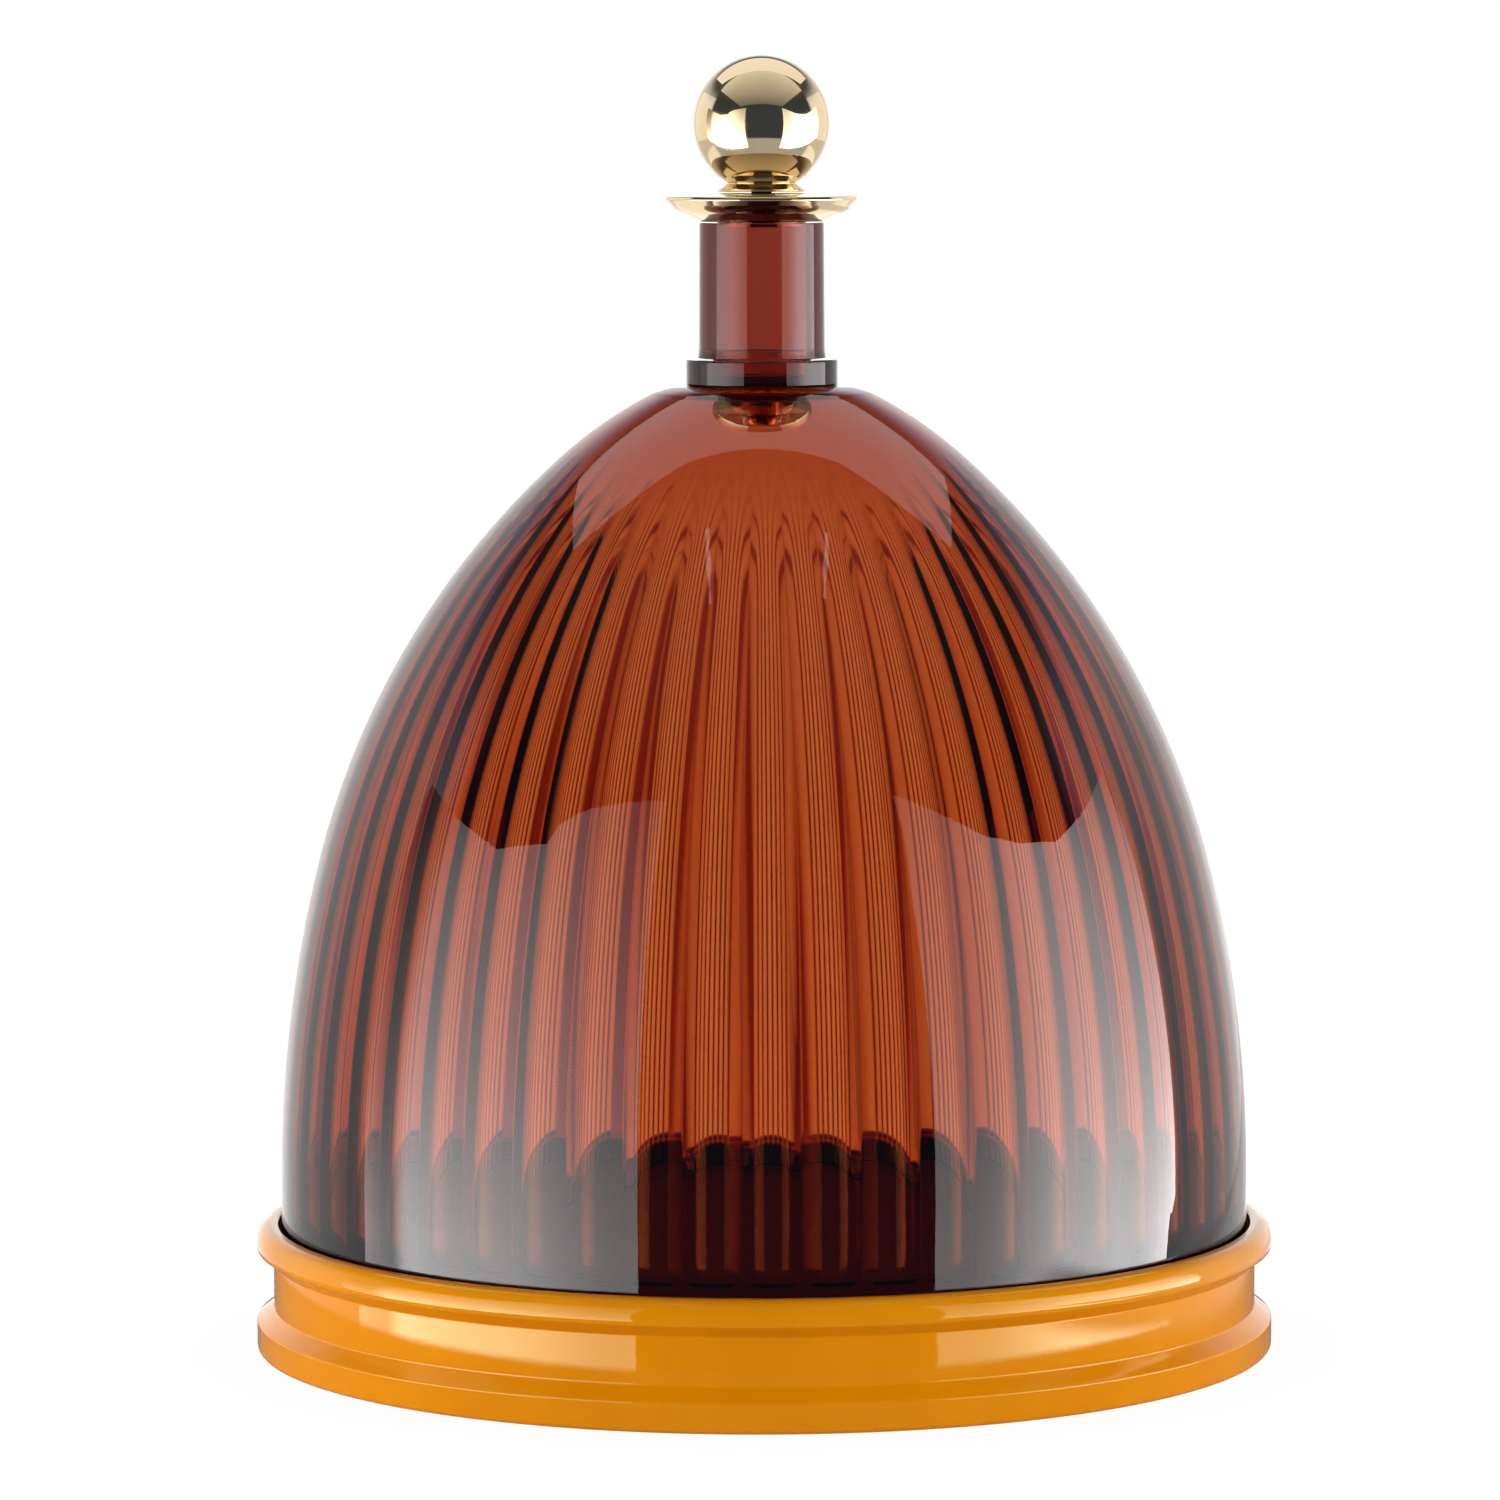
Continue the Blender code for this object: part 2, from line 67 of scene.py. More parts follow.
class Field:
    """A shader socket that can be used in an expression, which adds the Math nodes."""

    def __init__(self, tree, out=None):
        self.tree, self.out = tree, out

    def make(self, kind, settings, sockets, out=0):
        """A node of this type: its settings first, then its sockets' values or links."""
        node = self.tree.nodes.new(kind)
        for name, value in settings.items():
            setattr(node, name, value)
        for name, value in sockets.items():
            if isinstance(value, Field):
                self.tree.links.new(value.out, node.inputs[name])
            else:
                node.inputs[name].default_value = value
        return Field(self.tree, node.outputs[out])

    def maths(self, operation, *values):
        return self.make("ShaderNodeMath", {"operation": operation}, dict(enumerate(values)))

    def __add__(self, other):
        return self.maths("ADD", self, other)

    def __radd__(self, other):
        return self.maths("ADD", other, self)

    def __sub__(self, other):
        return self.maths("SUBTRACT", self, other)

    def __rsub__(self, other):
        return self.maths("SUBTRACT", other, self)

    def __mul__(self, other):
        return self.maths("MULTIPLY", self, other)

    def __rmul__(self, other):
        return self.maths("MULTIPLY", other, self)

    def either(self, other):
        """The larger of two masks."""
        return self.maths("MAXIMUM", self, other)

    def step(self, start, end, low=0.0, high=1.0):
        """A smooth step from low at start to high at end."""
        return self.make(
            "ShaderNodeMapRange",
            {"interpolation_type": "SMOOTHSTEP"},
            {"Value": self, 1: start, 2: end, 3: low, 4: high},
        )

    def blend(self, first, second):
        """A mix of two colours, with this field as the share of the second."""
        return self.make(
            "ShaderNodeMix", {"data_type": "RGBA"}, {0: self, 6: first, 7: second}, 2
        )

    def place(self):
        """Where the surface is, in metres from the middle of the tray's foot."""
        return self.make("ShaderNodeTexCoord", {}, {}, "Object")

    def axis(self, name):
        """The X, Y or Z of a vector."""
        return self.make("ShaderNodeSeparateXYZ", {}, {0: self}, name)

    def length(self):
        """The length of a vector."""
        return self.make("ShaderNodeVectorMath", {"operation": "LENGTH"}, {0: self}, "Value")

    def ray(self, kind):
        """One for a ray of this kind, and 0 for any other."""
        return self.make("ShaderNodeLightPath", {}, {}, f"Is {kind} Ray")

    def into(self, output, socket="Surface"):
        """Link this shader to a socket of the output node."""
        self.tree.links.new(self.out, output.inputs[socket])


def new_material(name):
    """An empty node material, with the field that makes its nodes, and its output node."""
    material = bpy.data.materials.new(name)
    material.use_nodes = True
    material.node_tree.nodes.clear()
    output = material.node_tree.nodes.new("ShaderNodeOutputMaterial")
    return material, Field(material.node_tree), output


def shine(node, output, strength, clear=False):
    """White light from a card. A clear card adds it to what shows through from behind."""
    light = node.make("ShaderNodeEmission", {}, {"Color": WHITE, "Strength": strength})
    if clear:
        through = node.make("ShaderNodeBsdfTransparent", {}, {})
        light = node.make("ShaderNodeAddShader", {}, {0: through, 1: light})
    light.into(output)


def placed(name, points, faces, material):
    """A mesh object at the origin, from an array of points and a list of faces."""
    mesh = bpy.data.meshes.new(name)
    mesh.from_pydata(points.tolist(), [], faces)
    mesh.materials.append(material)
    made = bpy.data.objects.new(name, mesh)
    bpy.context.scene.collection.objects.link(made)
    return made


def card(name, corners, material, rows=2, columns=2, bend=None):
    """A studio card: a grid that mixes four corners, u along its first side and v away from it.

    Where it is bent, bend(u, v) is added to its places.
    """
    u, v = np.meshgrid(np.linspace(0, 1, columns), np.linspace(0, 1, rows))
    u, v = u.ravel()[:, None], v.ravel()[:, None]
    a, b, c, d = (np.array(corner, float) for corner in corners)
    points = a * (1 - u) * (1 - v) + b * u * (1 - v) + c * u * v + d * (1 - u) * v
    if bend:
        points = points + bend(u, v)
    first = (np.arange(rows - 1)[:, None] * columns + np.arange(columns - 1)).ravel()
    faces = np.stack([first, first + 1, first + columns + 1, first + columns], 1).tolist()
    made = placed(name, points, faces, material)
    return made


def level(left, right, near, far, height):
    """The four corners of a level card."""
    return (left, near, height), (right, near, height), (right, far, height), (left, far, height)


def upright(across, near, far, low, high):
    """The four corners of an upright card at one side, which runs from front to back."""
    return (across, near, low), (across, far, low), (across, far, high), (across, near, high)


SCRIM_DISTANCE, SCRIM_FOOT, SCRIM_FADE_FROM = 1.0, -0.45, -0.12
SCRIM_FAR_FROM, SCRIM_FAR_TO = 1.20, 1.60
LEFT_TOP = (
    (-0.17, 0.82), (0.24, 0.72), (0.37, 0.66), (0.39, 0.61), (0.73, 0.60), (1.29, 0.75), (2.6, 1.15)
)
RIGHT_TOP = (
    (0.0, 0.80), (0.21, 0.71), (0.42, 0.63), (0.66, 0.61), (1.02, 0.64), (1.61, 0.81), (3.6, 1.45)
)


def scrim(name, azimuth, top, foot_light, fall, front, full, front_share, far_share):
    """An upright scrim, one metre away at this azimuth, with a wavy top, lit from behind.

    Its top is given as (distance along it, height) pairs. Its light is foot_light a little below
    the floor and falls off upwards as exp(-fall * height). It drops to front_share towards the
    front edge, between the distances full and front along it, and to far_share at its far end.
    """
    turn = math.radians(azimuth)
    side = math.copysign(1, azimuth)
    foot = np.array([math.sin(turn), -math.cos(turn), 0]) * SCRIM_DISTANCE
    along = np.array([math.cos(turn), math.sin(turn), 0]) * side
    place, height = np.transpose(top)
    ends = [foot + along * place[k] + (0, 0, SCRIM_FOOT) for k in (0, -1)]

    def rise(u, v):
        """The card's foot at v = 0, and the wavy top over it at v = 1."""
        here = place[0] + u * (place[-1] - place[0])
        return v * np.array([0, 0, 1]) * (np.interp(here, place, height) - SCRIM_FOOT)

    material, node, output = new_material(name + "_light")
    spot = node.place()
    up = spot.axis("Z")
    reach = node.make(
        "ShaderNodeVectorMath", {"operation": "DOT_PRODUCT"}, {0: spot, 1: along}, "Value"
    )
    fade = node.maths("POWER", math.e, (SCRIM_FADE_FROM - up) * fall)
    strength = fade * foot_light * reach.step(front, full, front_share, 1.0)
    shine(node, output, strength * reach.step(SCRIM_FAR_FROM, SCRIM_FAR_TO, 1.0, far_share))
    return card(name, (ends[0], ends[1], ends[1], ends[0]), material, 2, 80, rise)


def hollow_front(u, v):
    """The front edge of the ceiling card bows back at its ends as 1.3 * (u - 0.5) squared."""
    return np.concatenate([u * 0, (1 - v) * 1.3 * (u - 0.5) ** 2, u * 0], 1)


CEILING = 1.6
ceiling_light, node, output = new_material("ceiling_light")
shine(node, output, 1.1)
slit_light, node, output = new_material("slit_light")
shine(node, output, 2.05, clear=True)
room_cards = [
    scrim("scrim_left", -37, LEFT_TOP, 6.9, 1.8, -0.15, 0.45, 0.48, 0.3),
    scrim("scrim_right", 37, RIGHT_TOP, 8.4, 1.25, 0.10, 0.75, 0.35, 0.85),
    card("ceiling", level(-1.25, 1.25, 0.18, 1.55, CEILING), ceiling_light, 24, 48, hollow_front),
]
slits = [
    card("slit_left", level(-0.358, -0.334, -0.60, -0.22, CEILING), slit_light),
    card("slit_right", level(0.394, 0.418, -0.56, -0.22, CEILING), slit_light),
]

# Four clear cards over, under and beside the knob. The Ball section links their light to the
# knob and its saucer alone.
over_light, node, output = new_material("knob_over_light")
shine(node, output, 0.60 * node.maths("POWER", math.e, node.place().axis("Y") * 0.7), clear=True)
under_light, node, output = new_material("knob_under_light")
shine(node, output, node.place().length().step(0.75, 0.85, 0.45, 0.0), clear=True)
side_light, node, output = new_material("knob_side_light")
shine(node, output, 0.36, clear=True)
knob_cards = [
    card("knob_over", level(-1.6, 1.6, -2.04, 0.25, CEILING + 0.05), over_light),
    card("knob_under", level(-0.9, 0.9, -0.9, 0.9, -0.002), under_light),
    card("knob_left", upright(-3.0, 0.3, 4.5, -0.5, 2.0), side_light),
    card("knob_right", upright(3.0, 0.3, 4.5, -0.5, 2.0), side_light),
]
for studio_card in room_cards + slits + knob_cards:
    studio_card.visible_camera = False
    studio_card.visible_shadow = False

# The floor is plain white to the camera and through the acrylic, with a trace of shadow close to
# the tray. Gloss sees only its patch round the tray and a brighter strip of table to the right.
floor_material, node, output = new_material("floor_white")
place = node.place()
away, across, along = place.length(), place.axis("X"), place.axis("Y")
paper = node.make("ShaderNodeBsdfDiffuse", {}, {"Color": (0.9, 0.9, 0.9, 1)})
glow = node.make("ShaderNodeEmission", {}, {"Color": WHITE, "Strength": 1.0})
seen = node.ray("Camera").either(node.ray("Transmission")) * away.step(0.15, 0.20, 0.97, 1.0)
plain = node.make("ShaderNodeMixShader", {}, {0: seen, 1: paper, 2: glow})
near_tray = away.step(0.228, 0.242, 1.0, 0.0)
table = across.step(0.19, 0.24) * across.step(0.29, 0.34, 1.0, 0.0) * along.step(-0.23, -0.15)
gleam = node.make("ShaderNodeEmission", {}, {"Color": WHITE, "Strength": 0.20 + table * 0.60})
clear = node.make("ShaderNodeBsdfTransparent", {}, {})
mirrored = node.make("ShaderNodeMixShader", {}, {0: near_tray.either(table), 1: clear, 2: gleam})
node.make("ShaderNodeMixShader", {}, {0: node.ray("Glossy"), 1: plain, 2: mirrored}).into(output)
card("floor", level(-3.0, 3.0, -3.0, 3.0, -0.0003), floor_material)

# Beyond the cards is the backdrop, brightest straight behind and brighter still there to gloss.
# The rest of the room is dark, a little lighter overhead and bluish lower down. To the camera,
# all of it is white.
world = bpy.data.worlds.new("studio")
world.use_nodes = True
world.node_tree.nodes.clear()
node = Field(world.node_tree)
output = world.node_tree.nodes.new("ShaderNodeOutputWorld")
heading = node.make("ShaderNodeTexCoord", {}, {}, "Generated")
back, up = heading.axis("Y"), heading.axis("Z")
behind = back.step(0.05, 0.22) * up.step(0.30, 0.62, 1.0, 0.0)
mirrored = node.ray("Glossy") * (1 - node.ray("Transmission"))
backdrop = 0.75 + back.step(0.78, 0.98) * 0.40 + mirrored * back.step(0.975, 0.993) * 0.50
room = 0.05 + up.step(0.45, 0.95) * 0.12
seen = node.ray("Camera")
strength = seen + (1 - seen) * (behind * backdrop + (1 - behind) * room)
untinted = seen.either(behind).either(up.step(0.35, 0.60))
tone = untinted.blend((1.0, 1.3, 2.0, 1), WHITE)
node.make("ShaderNodeBackground", {}, {"Color": tone, "Strength": strength}).into(output)
bpy.context.scene.world = world


def soft_lamp(name, watts, width, place, turn, tilt):
    """A square lamp that gloss and clear acrylic don't see, tilted up from straight down."""
    data = bpy.data.lights.new(name, "AREA")
    data.energy, data.size = watts, width
    lamp = bpy.data.objects.new(name, data)
    bpy.context.scene.collection.objects.link(lamp)
    lamp.matrix_world = (
        Matrix.Translation(place)
        @ Matrix.Rotation(math.radians(turn), 4, "Z")
        @ Matrix.Rotation(math.radians(tilt), 4, "X")
    )
    lamp.visible_glossy = False
    lamp.visible_transmission = False


soft_lamp("front_fill", 9.5, 1.2, (0, -2.2, 0.5), 0, 80)
soft_lamp("side_fill", 15.5, 0.8, (-1.97, 0.72, 0.35), -110, 82)


# Tray
# One moulding in orange melamine, glossy outside: a bead at the foot, a band, and a bead at the
# rim, whose outer edge is rolled over. The bell stands in a matte well inside the rim. The
# underside is hollow.
RIM_TOP, WELL_FLOOR, TRAY_FLOOR_UNDER = 0.0372, 0.0310, 0.0280
BEAD, WAIST, RIM_INNER, FOOT_INNER, HOLLOW = 0.1500, 0.1450, 0.1435, 0.1470, 0.1420
ROLL_WIDTH, ROLL_HEIGHT = 0.0045, 0.0056
BEAD_UNDER, BAND_TOP, BAND_FOOT, BEAD_OVER = 0.0299, 0.0264, 0.0124, 0.0086
ORANGE = ((0.77, 0.266, 0.0, 1), (0.81, 0.286, 0.0005, 1))
# The well is a darker, redder orange than the rest of the tray.
WELL_ORANGE = ((0.60, 0.165, 0.0, 1), (0.64, 0.180, 0.0005, 1))
MELAMINE_IOR, GLOSS_TINT = 1.53, (0.85, 1.0, 0.6, 1)
INSET, INSET_FROM = 0.00025, 0.0006


def section(*parts, finish=7):
    """A section line from corners (radius, height) or (radius, height, round) and from curves.

    A round is an arc that is tangent to both sides, with finish steps to a quarter turn. Each
    straight run has a point close to both of its ends, which keeps its shading flat. A line that
    starts off the axis closes on itself.
    """
    runs = []
    ends = [np.atleast_2d(part)[:, :2] for part in parts]
    for i, part in enumerate(parts):
        here = ends[i]
        if len(here) > 1 or len(part) < 3:
            runs.append(here)
            continue
        corner = here[0]
        before = ends[i - 1][-1] - corner
        after = ends[(i + 1) % len(parts)][0] - corner
        before, after = before / np.hypot(*before), after / np.hypot(*after)
        half = math.acos(float(np.clip(before @ after, -1, 1))) / 2
        middle = (before + after) / np.hypot(*(before + after))
        centre = corner + middle * part[2] / math.sin(half)
        first, last = (corner + side * part[2] / math.tan(half) - centre for side in (before, after))
        start = math.atan2(first[1], first[0])
        sweep = (math.atan2(last[1], last[0]) - start + math.pi) % math.tau - math.pi
        steps = max(2, math.ceil(abs(sweep) / (math.pi / 2) * finish))
        turn = start + sweep * np.linspace(0, 1, steps + 1)
        runs.append(centre + part[2] * np.stack([np.cos(turn), np.sin(turn)], 1))
    closing = runs[:1] if runs[0][0, 0] > 0 else [runs[-1][-1:]]
    line = []
    for run, following in zip(runs, runs[1:] + closing):
        line.append(run)
        gap = following[0] - run[-1]
        length = np.hypot(*gap)
        if length > INSET_FROM:
            inset = min(INSET, length / 4) / length
            line.append(run[-1] + gap * np.array([[inset], [1 - inset]]))
    return np.concatenate(line)


def grid_faces(rows, columns, ring):
    """The four-sided faces of a grid whose columns wrap round, and whose rows do on a ring."""
    here = np.arange(rows if ring else rows - 1)[:, None]
    across = np.arange(columns)
    next_row, next_column = (here + 1) % rows, (across + 1) % columns
    quads = np.stack(
        [
            here * columns + across,
            here * columns + next_column,
            next_row * columns + next_column,
            next_row * columns + across,
        ],
        2,
    )
    return quads.reshape(-1, 4)


def new_piece(name, points, quads, tips, material):
    """A smooth-shaded piece of four-sided and three-sided faces, which are turned outwards.

    The signed volume between the origin and all faces says which way they look.
    """
    fans = np.concatenate([quads[:, [0, 1, 2]], quads[:, [0, 2, 3]], tips])
    a, b, c = (points[fans[:, k]] for k in range(3))
    if np.einsum("ij,ij->", a, np.cross(b, c)) < 0:
        quads, tips = quads[:, ::-1], tips[:, ::-1]
    piece = placed(name, points, quads.tolist() + tips.tolist(), material)
    piece.data.shade_smooth()
    return piece


def turned(name, line, sides, material):
    """A section line turned about Z: radius * cos and sin of evenly spaced angles, by height.

    A line that starts off the axis makes a ring. Any other starts and ends on the axis, where
    its two end points become the tips of two fans.
    """
    ring = line[0, 0] > 0
    inner = line if ring else line[1:-1]
    angle = np.arange(sides) * math.tau / sides
    radius, height = inner[:, 0:1], inner[:, 1:2]
    points = np.stack([radius * np.cos(angle), radius * np.sin(angle), height + 0 * angle], 2)
    points = points.reshape(-1, 3)
    tips = np.empty((0, 3), int)
    if not ring:
        here = np.arange(sides)
        there = np.roll(here, -1)
        last, count = len(points) - sides, len(points)
        low = np.stack([there, here, here * 0 + count], 1)
        high = np.stack([last + here, last + there, here * 0 + count + 1], 1)
        tips = np.concatenate([low, high])
        points = np.concatenate([points, [[0, 0, line[0, 1]], [0, 0, line[-1, 1]]]])
    return new_piece(name, points, grid_faces(len(inner), sides, ring), tips, material)


melamine, node, output = new_material("orange_melamine")
place = node.place()
mottle = node.make("ShaderNodeTexNoise", {}, {"Vector": place, "Scale": 38.0, "Detail": 3.0})
wipe = node.make("ShaderNodeTexNoise", {}, {"Vector": place, "Scale": 9.0, "Detail": 5.0})
skin = node.make("ShaderNodeTexNoise", {}, {"Vector": place, "Scale": 420.0, "Detail": 2.0})
relief = node.make("ShaderNodeBump", {}, {"Strength": 0.03, "Distance": 0.0002, "Height": skin})
gloss = node.make(
    "ShaderNodeBsdfPrincipled", {},
    {
        "Base Color": mottle.step(0.35, 0.7).blend(*ORANGE),
        "Roughness": wipe.step(0.35, 0.75, 0.03, 0.07),
        "IOR": MELAMINE_IOR,
        "Specular Tint": GLOSS_TINT,
        "Normal": relief,
    },
)
well = node.make(
    "ShaderNodeBsdfPrincipled", {},
    {
        "Base Color": mottle.step(0.35, 0.7).blend(*WELL_ORANGE),
        "Roughness": wipe.step(0.35, 0.75, 0.50, 0.60),
        "IOR": MELAMINE_IOR,
        "Specular IOR Level": 0.0,
        "Normal": relief,
    },
)
from_axis = node.make("ShaderNodeVectorMath", {"operation": "MULTIPLY"}, {0: place, 1: (1, 1, 0)})
in_well = from_axis.length().step(RIM_INNER - 0.0006, RIM_INNER - 0.0004, 1.0, 0.0)
in_well = in_well * place.axis("Z").step(0.0295, 0.0300)
node.make("ShaderNodeMixShader", {}, {0: in_well, 1: gloss, 2: well}).into(output)

# The roll is an ellipse's quarter, from the rim's top to a little past its widest place.
roll = np.radians(np.linspace(90, -14, 22))
rim_roll = np.stack(
    [BEAD - ROLL_WIDTH * (1 - np.cos(roll)), RIM_TOP - ROLL_HEIGHT * (1 - np.sin(roll))], 1
)
tray = turned(
    "tray_moulding",
    section(
        (0, WELL_FLOOR),
        (RIM_INNER, WELL_FLOOR, 0.0008),
        (RIM_INNER, RIM_TOP, 0.0008),
        rim_roll,
        (BEAD - 0.0002, BEAD_UNDER, 0.0008),
        (WAIST, BAND_TOP, 0.0005),
        (WAIST, BAND_FOOT, 0.0007),
        (BEAD, BEAD_OVER, 0.0008),
        (BEAD, 0, 0.0015),
        (FOOT_INNER, 0, 0.0003),
        (FOOT_INNER, BEAD_OVER, 0.001),
        (HOLLOW, BAND_FOOT, 0.001),
        (HOLLOW, TRAY_FLOOR_UNDER, 0.002),
        (0, TRAY_FLOOR_UNDER),
    ),
    384,
    melamine,
)
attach(tray, "tray")
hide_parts("base_tray")


# Bell
# Clear amber acrylic, polished outside and moulded inside with 52 hollow flutes that fade out
# under the crown. It is 2.4 mm thick at the hollows and 3.1 to 3.8 mm at the crown. Its foot
# stands loose in the tray's well.
AMBER, AMBER_DENSITY = (0.805, 0.444, 0.088, 1), 800.0
AMBER_SHADE, ACRYLIC_IOR = (0.38, 0.30, 0.20, 1), 1.49
# The dark colour near each inside ridge is painted shade, which deepens the flutes' dark stripes.
RIDGE_PAINTED_SHADE, RIDGE_FROM = (0.30, 0.06, 0.017, 1), 0.96
BELL_RADIUS, BELL_BASE, BELL_TOP = 0.1426, 0.0313, 0.2832
BELL_WALL, CROWN_WALL, CROWN_WEB, CROWN_THICKNESS = 0.0024, 0.0031, 0.0033, 0.0038
FOOT_STRAIGHT = 0.0198
WALL_ARCS = ((0.380, 14.25), (0.236, 34.0), (0.127, 16.9))
WALL_END_OUTSIDE, WALL_END_INSIDE = 0.0328, 0.0322
FLUTES, FLUTE_FLANK, FLUTE_HOLLOW, FLUTE_TURN = 52, 22.5, 0.58, 0.82
FLUTE_START, FLUTE_RUNOUT, FLUTE_END, FLUTE_FADE = 0.0080, 0.0014, 0.236, 0.040


def amber(name, roughness, ripple, colour=AMBER, density=AMBER_DENSITY, shade_ridges=False):
    """Clear amber acrylic: light is lost along its way through, and lamps shine through it.

    The polish varies a little, and the surface has the faint ripple of its moulding. Where its
    ridges are shaded, the U of its UV map runs up to 1 at a ridge, and a painted shade darkens
    the colour near each ridge, to deepen the dark stripes that the flutes make.
    """
    material, node, output = new_material(name)
    place = node.place()
    cloud = node.make("ShaderNodeTexNoise", {}, {"Vector": place, "Scale": 14.0, "Detail": 4.0})
    flow = node.make("ShaderNodeTexNoise", {}, {"Vector": place, "Scale": 60.0, "Detail": 2.0})
    relief = node.make(
        "ShaderNodeBump", {}, {"Strength": ripple, "Distance": 0.0004, "Height": flow}
    )
    base_and_ridge_shade = WHITE
    if shade_ridges:
        # Painted shade: the colour darkens towards each ridge, only where a ray meets the surface's
        # front.
        ridge = node.make("ShaderNodeTexCoord", {}, {}, "UV").axis("X").step(0.50, 0.85)
        leaving = node.make("ShaderNodeNewGeometry", {}, {}, "Backfacing")
        base_and_ridge_shade = (ridge * (1 - leaving)).blend(WHITE, RIDGE_PAINTED_SHADE)
    body = node.make(
        "ShaderNodeBsdfPrincipled", {},
        {
            "Base Color": base_and_ridge_shade,
            "Roughness": cloud.step(0.4, 0.8, 0.0, roughness),
            "IOR": ACRYLIC_IOR,
            "Transmission Weight": 1.0,
            "Normal": relief,
        },
    )
    clear = node.make("ShaderNodeBsdfTransparent", {}, {"Color": AMBER_SHADE})
    passing = node.ray("Shadow").either(node.ray("Diffuse"))
    node.make("ShaderNodeMixShader", {}, {0: passing, 1: body, 2: clear}).into(output)
    loss = node.make("ShaderNodeVolumeAbsorption", {}, {"Color": colour, "Density": density})
    loss.into(output, "Volume")
    return material


def arc_wall(travel, inset):
    """The bell's wall after turning angles in degrees: three tangent arcs from the foot up.

    Along an arc, the radius shrinks by the arc's times the change in cos, and the height grows by
    it times the change in sin. The inset is measured at a right angle to the outside.
    """
    radius = np.full(len(travel), BELL_RADIUS)
    height = np.full(len(travel), BELL_BASE + FOOT_STRAIGHT)
    start = 0.0
    for arc, sweep in WALL_ARCS:
        a = math.radians(start)
        b = np.radians(np.clip(travel, start, start + sweep))
        radius = radius - arc * (math.cos(a) - np.cos(b))
        height = height + arc * (np.sin(b) - math.sin(a))
        start += sweep
    lean = np.radians(travel)
    return np.stack([radius - inset * np.cos(lean), height - inset * np.sin(lean)], 1)


def smooth(t):
    """A smooth step from 0 to 1: 3 t squared less 2 t cubed."""
    t = np.clip(t, 0, 1)
    return t * t * (3 - 2 * t)


# The wall's section: the inside goes down from the crown to the foot, the outside comes back up.
wall_end = sum(sweep for _, sweep in WALL_ARCS)
outside = arc_wall(np.linspace(0, wall_end, 40), 0.0)
outside = outside[outside[:, 0] > WALL_END_OUTSIDE]
travel = np.linspace(wall_end, 0, 42)
faded = smooth((arc_wall(travel, BELL_WALL)[:, 1] - BELL_BASE - FLUTE_END) / FLUTE_FADE + 1)
inside = arc_wall(travel, BELL_WALL + (CROWN_WALL - BELL_WALL) * faded)
inside = inside[inside[:, 0] > WALL_END_INSIDE]
runout = FLUTE_START + FLUTE_RUNOUT * np.linspace(1.05, -0.05, 8)
foot_rows = BELL_BASE + np.concatenate([[0.019, 0.014], runout, [0.0005]])
foot_inside = np.stack([np.full(len(foot_rows), BELL_RADIUS - BELL_WALL), foot_rows], 1)
bell_line = section(
    (0.0121, BELL_TOP - CROWN_THICKNESS, 0.0003),
    (0.0170, BELL_TOP - CROWN_THICKNESS, 0.0020),
    (0.0240, BELL_TOP - CROWN_WEB, 0.0020),
    (0.0279, BELL_TOP - CROWN_WEB, 0.0165),
    np.concatenate([inside, foot_inside]),
    (BELL_RADIUS - BELL_WALL, BELL_BASE, 0.0003),
    (BELL_RADIUS, BELL_BASE, 0.0006),
    outside,
    (0.0281, BELL_TOP, 0.0200),
    (0.02255, BELL_TOP, 0.0002),
    (0.01940, BELL_TOP - 0.0020, 0.0002),
    (0.01480, BELL_TOP - 0.0020, 0.0002),
    finish=6,
)

# Across a flute, from -1 at a ridge to 1 at the next, the inside is a round hollow between
# straight flanks. The ridges stand in from the hollows, by less and less where the flutes fade
# at the top. Under the run-out at the foot, the whole band stands in as far as the ridges, down
# to the bell's bottom edge.
half = np.concatenate([np.linspace(0, 1.07 * FLUTE_HOLLOW, 5), [RIDGE_FROM, 1]])
across = np.concatenate([-half[:0:-1], half[:-1]])
flank = math.radians(FLUTE_FLANK)
bend = FLUTE_HOLLOW / math.sin(flank)
hollow = np.minimum(np.abs(across), FLUTE_HOLLOW)
rise = bend - np.sqrt(bend ** 2 - hollow ** 2) + (np.abs(across) - hollow) * math.tan(flank)
depth = bend * (1 - math.cos(flank)) + (1 - FLUTE_HOLLOW) * math.tan(flank)
flute_angle = math.tau / FLUTES
angle = (np.arange(FLUTES)[:, None] + across / 2) * flute_angle + math.radians(FLUTE_TURN - 90)
angle = angle.ravel()
hollow_share = np.tile(1 - rise / depth, FLUTES)
radius, above = bell_line[:, 0], bell_line[:, 1] - BELL_BASE
is_inside = (np.arange(len(bell_line)) < np.argmax(radius)) & (radius < BELL_RADIUS - BELL_WALL / 2)
is_inside &= (above > 0.0002) | (radius < 0.13)
foot = np.clip((above - FLUTE_START) / FLUTE_RUNOUT, 0, 1)
top = smooth((FLUTE_END - above) / FLUTE_FADE)
ridge = np.where(is_inside, math.pi / FLUTES * depth * top, 0.0)
bell_radius = radius[:, None] * (1 - ridge[:, None] * (1 - foot[:, None] * hollow_share))
bell_points = np.stack(
    [bell_radius * np.cos(angle), bell_radius * np.sin(angle), bell_line[:, 1:2] + 0 * angle], 2
)
bell = new_piece(
    "bell_moulding",
    bell_points.reshape(-1, 3),
    grid_faces(len(bell_line), len(angle), True),
    np.empty((0, 3), int),
    amber("amber_bell", 0.0, 0.0, shade_ridges=True),
)
